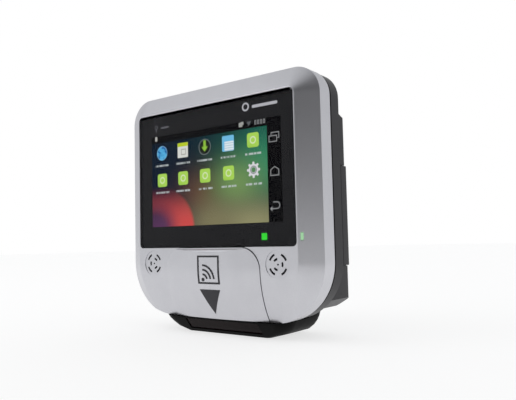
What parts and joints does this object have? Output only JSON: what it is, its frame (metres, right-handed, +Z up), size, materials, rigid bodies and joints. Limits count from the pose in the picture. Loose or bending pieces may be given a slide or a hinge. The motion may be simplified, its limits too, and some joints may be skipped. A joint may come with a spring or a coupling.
{
  "type": "ticket validator",
  "caption": "Wall-mounted fare terminal with a touch display, a contactless reader, speaker grilles and a code scanner in its foot, with a connector bay behind a lift-off door.",
  "frame": {"origin": "centre of the footprint of the whole object, on the plane that its foot stands on", "axes": "-Y is the front with the display, +X the right-hand side seen from the front, +Z up; the back with the mounting holes faces +Y"},
  "size_m": [0.137, 0.0502, 0.141],
  "materials": {
    "silver_plastic": "satin silver paint on moulded plastic",
    "dark_plastic": "fine-grained dark grey moulded plastic",
    "black_plastic": "black moulded plastic, slightly glossy",
    "black_rubber": "black elastomer",
    "print_black": "black printed ink",
    "cover_glass": "clear polished glass",
    "mask_black": "black ink behind the glass",
    "adhesive": "grey foam tape",
    "display": "lit colour display",
    "steel_sheet": "bent and stamped sheet steel",
    "tray_aluminium": "stamped aluminium sheet",
    "screw_steel": "zinc-plated screws",
    "green_light": "lit green light guide",
    "circuit_board": "green solder mask",
    "flex_amber": "amber flexible circuit",
    "ferrite": "grey ferrite sheet",
    "speaker_body": "black basket and paper cone",
    "mesh_black": "woven acoustic mesh",
    "port_steel": "tin-plated port shells",
    "port_black": "black nylon",
    "window_red": "smoked red window",
    "lens_glass": "coated lenses",
    "engine_body": "black engine housing",
    "brass": "knurled brass",
    "button_red": "red button",
    "card_black": "black memory card"
  },
  "bodies": {
    "terminal": {"front_housing": "silver_plastic", "reader_cover": "silver_plastic", "reader_marks": "print_black", "cover_glass": "cover_glass", "glass_mask": "mask_black", "glass_tape": "adhesive", "lcd_panel": "display", "lcd_tray": "tray_aluminium", "lcd_cable": "flex_amber", "tray_screws": "screw_steel", "status_light_guide": "green_light", "side_light_guide": "green_light", "light_board": "circuit_board", "reader_antenna": "circuit_board", "antenna_shield": "ferrite", "speaker_left": "speaker_body", "speaker_right": "speaker_body", "speaker_meshes": "mesh_black", "main_board": "circuit_board", "board_shield": "steel_sheet", "board_screws": "screw_steel", "lan_port": "port_steel", "serial_port": "port_black", "usb_port": "port_steel", "power_jack": "port_black", "card_slot": "port_steel", "reset_switch": "port_black", "scanner_housing": "black_plastic", "scan_window": "window_red", "scan_engine": "engine_body", "scan_lens": "lens_glass", "scan_bracket": "steel_sheet", "scan_cable": "flex_amber", "foot_screws": "screw_steel", "housing_seal": "black_rubber", "rear_cover": "dark_plastic", "connector_tray": "dark_plastic", "mount_inserts": "brass", "mount_plate": "steel_sheet", "case_screws": "screw_steel"},
    "door": {"service_door": "dark_plastic"},
    "reset": {"reset_button": "button_red"},
    "card": {"memory_card": "card_black"}
  },
  "joints": [
    {"name": "door_pull", "type": "slide", "parent": "terminal", "child": "door", "axis": [0, 1, 0], "range_m": [0, 0.03]},
    {"name": "reset_press", "type": "slide", "parent": "terminal", "child": "reset", "axis": [0, -1, 0], "range_m": [0, 0.0005], "stiffness_N_per_m": 600, "springref_m": -0.0005},
    {"name": "card_pull", "type": "slide", "parent": "terminal", "child": "card", "axis": [0, 0, -1], "range_m": [0, 0.012]}
  ]
}
